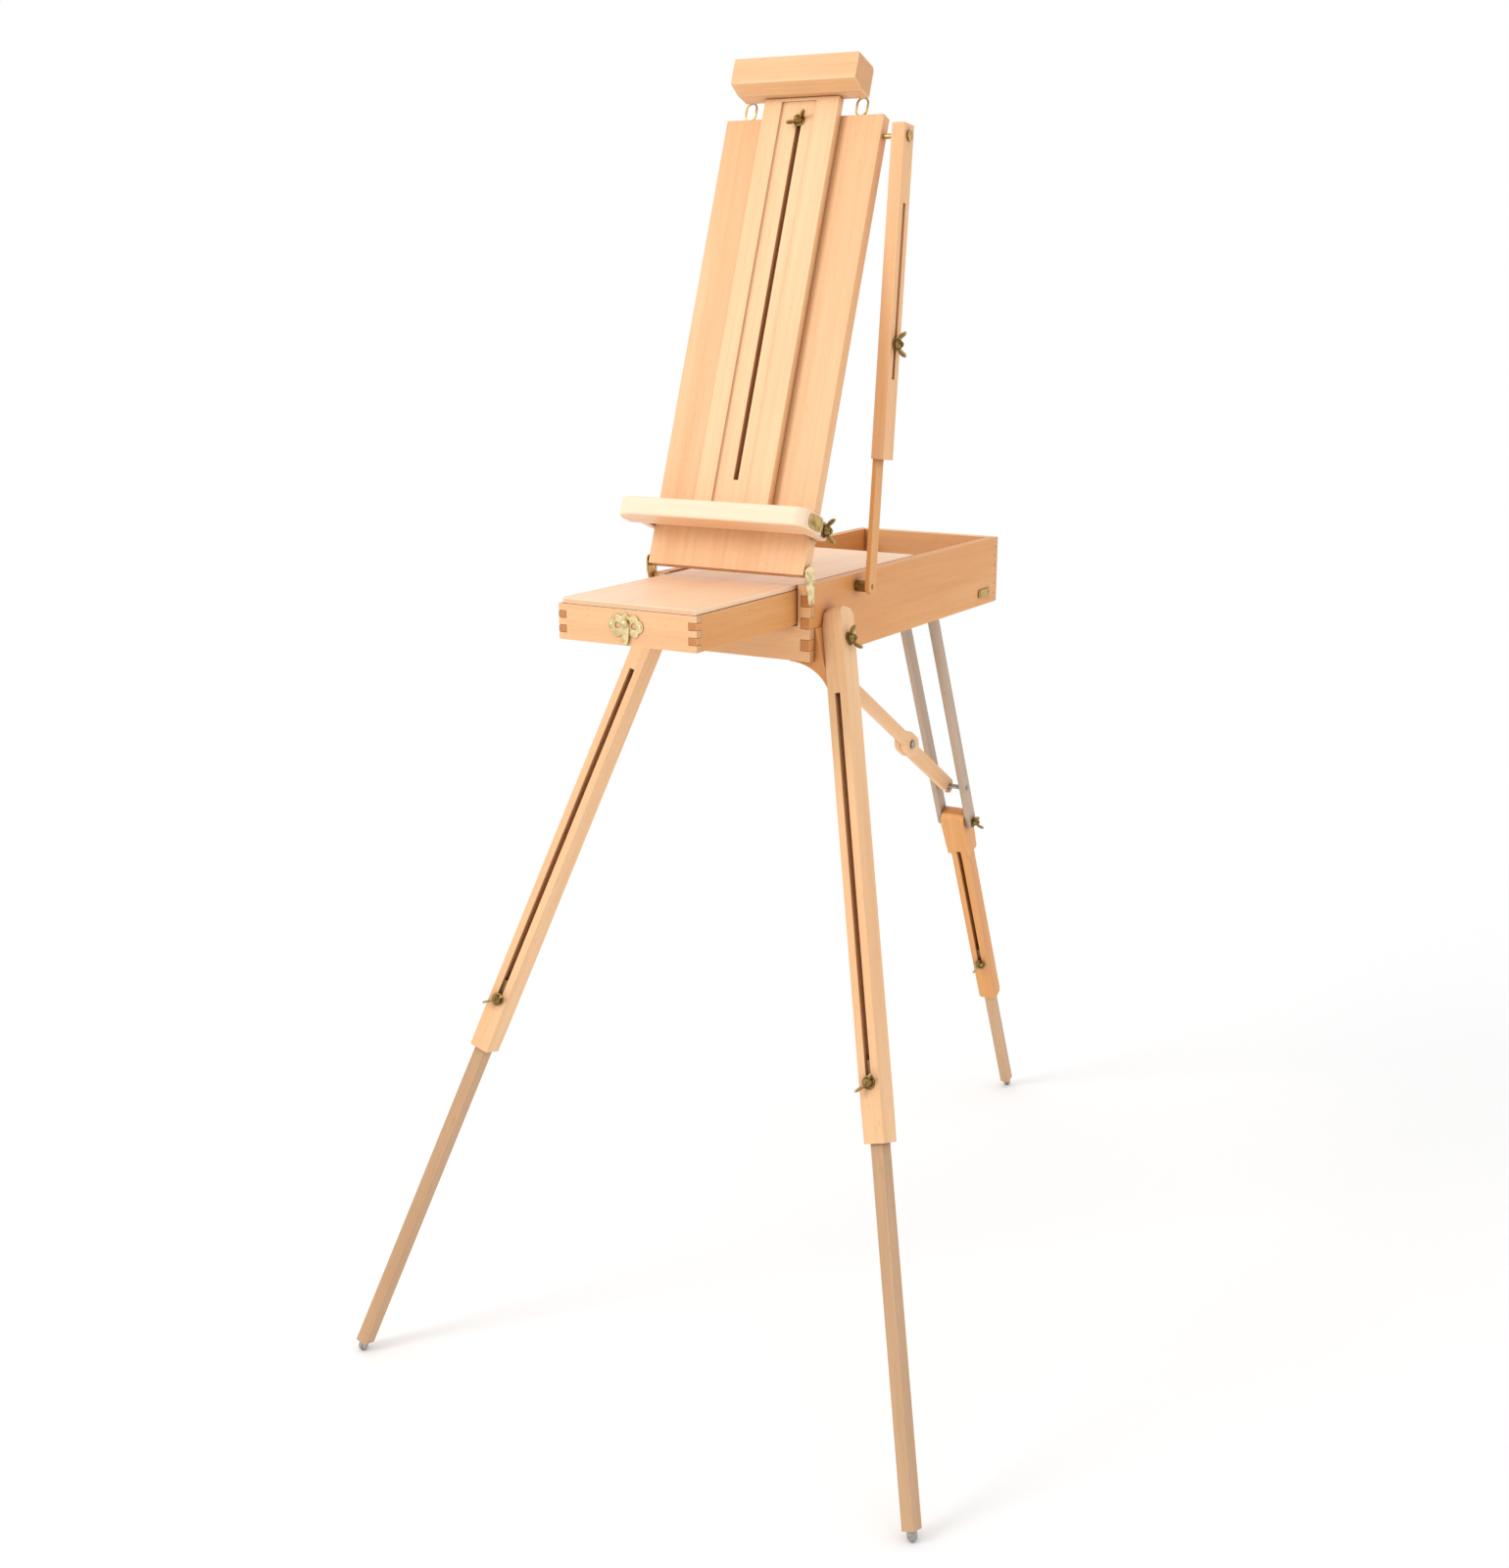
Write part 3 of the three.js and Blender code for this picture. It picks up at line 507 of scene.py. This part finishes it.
# ---------------------------------------------------------------- box
def make_catch_plate():
    """The strip behind the leg's catch, held by two slotted screws."""
    low, high = map(Vector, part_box("catch_plate"))
    bm = cad_mesh("catch_plate")
    ease(bm, 0.3 * MM)
    outward = axes(Vector((high.x, 0, (low.z + high.z) / 2)), Y, X)
    for y in (low.y + 6 * MM, high.y - 6 * MM):
        join(bm, slotted_screw(3.2 * MM, 0.9 * MM), Matrix.Translation((0, y, 0)) @ outward)
    piece("catch_plate_metal", bm, BODY_OF["catch_plate"], "brass", along(X), ("catch_plate",))


def make_box():
    for side in ("left", "right"):
        # Painted shade: the side walls and leg blocks take the darker, shaded copy of the beech.
        timber(f"side_wall_{side}", "beech_shaded", Y, 0.8 * MM)
        timber(f"leg_block_{side}", "beech_shaded", Z, 1.0 * MM)
    timber("front_frame", "beech", X, 0.8 * MM)
    timber("rear_wall", "beech", X, 0.8 * MM)
    timber("bottom_panel", "beech_tan", Y, 0.5 * MM)
    timber("rear_mount", "beech_tan", X, 1.0 * MM)
    timber("brace_mount", "beech_tan", Y, 1.0 * MM)
    for name in ("rear_pin", "brace_pin"):
        fitting(name, "steel")
    fitting("stay_screw", "bronze")
    make_catch_plate()


def make_palette():
    """The thin palette, a shade narrower than the drawer, with its front left corner rounded."""
    low, high = map(Vector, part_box("palette"))
    narrower = 88.3 / 89.5
    bm = cad_mesh("palette")
    bmesh.ops.scale(bm, verts=bm.verts, vec=(narrower, 1, 1))
    round_corner(bm, Matrix(), low.x * narrower, low.y, 10 * MM)
    ease(bm, 1.0 * MM, 3)
    piece("palette_wood", bm, BODY_OF["palette"], "beech_pale", along(Y), ("palette",))


LATCH_QUARTER = [
    (0, 14), (3, 12.2), (5, 9.8), (8, 11.2), (12, 12), (15.4, 10.4), (16, 7), (19, 6.4), (21.6, 3.6), (22, 0),
]
LATCH_HOLE = [(5.5, 0), (8.5, 3.6), (13, 3.8), (14.6, 0), (13, -3.8), (8.5, -3.6)]


def make_latch():
    """A scalloped, pierced brass plate with two screws and a tongue that hangs over the drawer's edge."""
    low, high = map(Vector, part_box("drawer_latch"))
    outline = LATCH_QUARTER + [(x, -y) for x, y in LATCH_QUARTER[-2::-1]]
    outline += [(-x, -y) for x, y in LATCH_QUARTER[1:]] + [(-x, y) for x, y in LATCH_QUARTER[-2:0:-1]]
    holes = [smoothed([(side * x, y) for x, y in LATCH_HOLE]) for side in (-1, 1)]
    loops = [[(x * MM, y * MM) for x, y in loop] for loop in [smoothed(outline, 1), *holes]]
    bm = plate(loops, 1.2 * MM, 0.4 * MM)
    for side in (-1, 1):
        join(bm, slotted_screw(2.3 * MM, 1.0 * MM), move(side * 18.4 * MM, 0, 1.2 * MM))
    tongue = [(-4.5, 6), (4.5, 6), (5, -8), (3.6, -18), (0, -21), (-3.6, -18), (-5, -8)]
    tongue = [(x * MM, y * MM) for x, y in smoothed(tongue)]
    join(bm, plate([tongue], 1.6 * MM, 0.6 * MM), move(0, 0, 1.4 * MM))
    knob = [(0, 0), (4.2, 0), (4.4, 1.5), (3, 3.2), (0, 3.6)]
    join(bm, lathe([(r * MM, z * MM) for r, z in knob], 28), move(0, 3 * MM, 2.6 * MM))
    centre = Vector(((low.x + high.x) / 2, high.y, (low.z + high.z) / 2))
    place = Matrix.Translation(centre) @ Matrix.Rotation(math.pi / 2, 4, "X")
    bmesh.ops.transform(bm, matrix=place, verts=bm.verts)
    piece("drawer_latch_metal", bm, BODY_OF["drawer_latch"], "brass_pale", along(X), ("drawer_latch",))


def make_drawer():
    timber("drawer_front", "beech", X, 0.8 * MM)
    timber("drawer_back", "beech", X, 0.8 * MM)
    for side in ("left", "right"):
        # Painted shade: the drawer sides take the darker, shaded copy of the beech.
        timber(f"drawer_side_{side}", "beech_shaded", Y, 0.8 * MM)
    timber("drawer_bottom", "beech_tan", X, 0.4 * MM)
    make_palette()
    make_latch()


HEAD_SETBACK = 18 * MM
HEAD_FOOT_SETBACK = 24 * MM
HEAD_DROP = 5 * MM


def make_head():
    """The bar across the mast's top, with an upright front face and a shallow underside."""
    bm = cad_mesh("mast_head")
    back = LID.inverted()
    local = {v: back @ v.co for v in bm.verts}
    front = min(p.y for p in local.values())
    foot = min(p.z for p in local.values())
    for v, p in local.items():
        if abs(p.y - front) < 0.5 * MM:
            drop = HEAD_DROP if p.z < foot + 14 * MM else 0
            v.co = LID @ Vector((p.x, p.y + HEAD_SETBACK, p.z - drop))
        elif p.z < foot + 0.5 * MM and p.y < front + 20 * MM:
            v.co = LID @ Vector((p.x, p.y + HEAD_FOOT_SETBACK, p.z))
    ease(bm, 1.6 * MM, 3)
    piece("mast_head_wood", bm, BODY_OF["mast_head"], "beech", along(X), ("mast_head",))


def make_bracket():
    """The brass plate over the ledge's right end, with one slotted screw."""
    shape = [(-15, -8), (0, -9), (14, -8), (16, 0), (14, 8), (0, 9), (-15, 8), (-18, 0)]
    bm = plate([[(x * MM, y * MM) for x, y in smoothed(shape)]], 1.2 * MM, 0.4 * MM)
    join(bm, slotted_screw(3.4 * MM, 1.0 * MM), move(-6 * MM, 0, 1.2 * MM))
    turn = Matrix(((0, 0, 1), (1, 0, 0), (0, 1, 0))).to_4x4()
    bmesh.ops.transform(bm, matrix=LID @ move(LEDGE_RIGHT * MM, -37 * MM, 51 * MM) @ turn, verts=bm.verts)
    piece("ledge_bracket_metal", bm, BODY_OF["ledge"], "brass", along(X))


def arc(x, y, radius, start, end, count=10):
    """Points along a part of a circle, angles in degrees."""
    turn = [math.radians(start + (end - start) * i / count) for i in range(count + 1)]
    return [(x + radius * math.cos(a), y + radius * math.sin(a)) for a in turn]


# The ledge in the lid's own frame, in millimetres.
LEDGE_LEFT, LEDGE_RIGHT = -132, 126
LEDGE_FRONT, LEDGE_BACK = -67, -21
LEDGE_FOOT, LEDGE_HEIGHT = 40, 22
ARM_IN, ARM_OUT = 106.3, 118.3
LEFT_ROUND, RIGHT_ROUND = 30, 13


def make_ledge():
    """The canvas ledge: left end swept round, right end softened, two arms that clasp the lid."""
    bm = cad_mesh("ledge")
    back = max((LID.inverted() @ v.co).y for v in bm.verts) / MM
    bm.free()
    outline = [(LEDGE_LEFT, LEDGE_BACK), (-ARM_OUT, LEDGE_BACK), (-ARM_OUT, back), (-ARM_IN, back)]
    outline += [(-ARM_IN, LEDGE_BACK), (ARM_IN, LEDGE_BACK), (ARM_IN, back), (ARM_OUT, back)]
    outline += [(ARM_OUT, LEDGE_BACK), (LEDGE_RIGHT, LEDGE_BACK)]
    outline += arc(LEDGE_RIGHT - RIGHT_ROUND, LEDGE_FRONT + RIGHT_ROUND, RIGHT_ROUND, 0, -90)
    outline += arc(LEDGE_LEFT + LEFT_ROUND, LEDGE_FRONT + LEFT_ROUND, LEFT_ROUND, -90, -180)
    bm = plate([[(x * MM, y * MM) for x, y in outline]], LEDGE_HEIGHT * MM, 2.5 * MM, 3)
    bmesh.ops.transform(bm, matrix=LID @ move(0, 0, LEDGE_FOOT * MM), verts=bm.verts)
    piece("ledge_wood", bm, BODY_OF["ledge"], "beech_pale", along(X), ("ledge",))
    make_bracket()


def make_lid():
    up = LID.to_3x3() @ Z
    timber("lid_panel", "beech", up, 1.0 * MM)
    timber("mast_board", "beech_honey", up, 0.8 * MM)
    make_head()
    make_ledge()
    for side in ("left", "right"):
        fitting(f"catch_loop_{side}", "brass", 0.2 * MM)
        fitting(f"hinge_plate_{side}", "brass_pale", 0.3 * MM)


def make_stay():
    up = STAY.to_3x3() @ Z
    # Painted shade: the stay bar takes the darker, shaded copy of the beech.
    timber("stay_bar", "beech_shaded", up, 0.8 * MM)
    timber("stay_sleeve", "beech", up, 1.2 * MM)
    fitting("stay_bolt", "brass")


def make_legs():
    for side in ("left", "right"):
        down = LEG[side].to_3x3() @ Z
        timber(f"leg_sleeve_{side}", "beech", down, 1.0 * MM)
        timber(f"leg_inner_{side}", "beech_tan", down, 1.0 * MM)
        fitting(f"leg_tip_{side}", "steel")
    down = REAR.to_3x3() @ Z
    for side in ("left", "right"):
        timber(f"fork_slat_{side}", "beech_grey", down, 0.8 * MM)
    # Painted shade: the rear sleeve takes the darker, shaded copy of the beech.
    timber("rear_sleeve", "beech_shaded", down, 1.0 * MM)
    timber("rear_inner", "beech_tan", down, 1.0 * MM)
    fitting("rear_tip", "steel")
    fitting("hook_pin", "steel")
    low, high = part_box("brace_upper")
    brace_down = Vector((0, high.y - low.y, low.z - high.z))
    timber("brace_upper", "beech", brace_down, 0.8 * MM)
    timber("brace_lower", "beech", brace_down, 0.8 * MM)
    fitting("brace_bolt", "steel")


# ---------------------------------------------------------------- stage and light
FLOOR_RADIUS = 14


def floor_material():
    """Pale paper that turns into the white of the surroundings away from the easel."""
    material, tree, shader = new_material("floor")
    shader.inputs["Base Color"].default_value = (0.94, 0.94, 0.94, 1)
    shader.inputs["Roughness"].default_value = 0.9
    shader.inputs["Specular IOR Level"].default_value = 0.1
    place = node(tree, "ShaderNodeTexCoord").outputs["Object"]
    distance = node(tree, "ShaderNodeVectorMath", {0: place}, operation="LENGTH").outputs["Value"]
    glow = node(tree, "ShaderNodeEmission", {"Color": (1, 1, 1, 1), "Strength": 1.0}).outputs[0]
    blend = node(tree, "ShaderNodeMixShader", {0: ranged(tree, distance, 0.9, 2.6)})
    tree.links.new(shader.outputs[0], blend.inputs[1])
    tree.links.new(glow, blend.inputs[2])
    tree.links.new(blend.outputs[0], tree.nodes["Material Output"].inputs["Surface"])
    return material


def make_stage():
    bm = bmesh.new()
    bmesh.ops.create_circle(bm, cap_ends=True, segments=96, radius=FLOOR_RADIUS)
    mesh = bpy.data.meshes.new("floor")
    bm.to_mesh(mesh)
    bm.free()
    floor = bpy.data.objects.new("floor", mesh)
    floor.location.z = -0.2 * MM
    bpy.context.scene.collection.objects.link(floor)
    mesh.materials.append(floor_material())


def area_light(name, at, target, size, power, colour=(1, 1, 1)):
    data = bpy.data.lights.new(name, "AREA")
    data.shape = "DISK"
    data.size = size
    data.energy = power
    data.color = colour
    light = bpy.data.objects.new(name, data)
    light.location = at
    light.rotation_mode = "QUATERNION"
    light.rotation_quaternion = (Vector(target) - Vector(at)).to_track_quat("-Z", "Y")
    bpy.context.scene.collection.objects.link(light)


def make_light():
    world = bpy.data.worlds.new("studio")
    bpy.context.scene.world = world
    world.use_nodes = True
    background = world.node_tree.nodes["Background"]
    background.inputs["Color"].default_value = (1, 1, 1, 1)
    background.inputs["Strength"].default_value = 1.0
    area_light("key", (-2.2, -3.6, 3.4), (0, 0, 0.9), 1.8, 62, (1.0, 0.97, 0.93))
    view = bpy.context.scene.view_settings
    view.view_transform = "Standard"
    view.look = "None"


make_camera()
make_box()
make_drawer()
make_lid()
make_stay()
make_legs()
make_wing_nuts()
make_stage()
make_light()
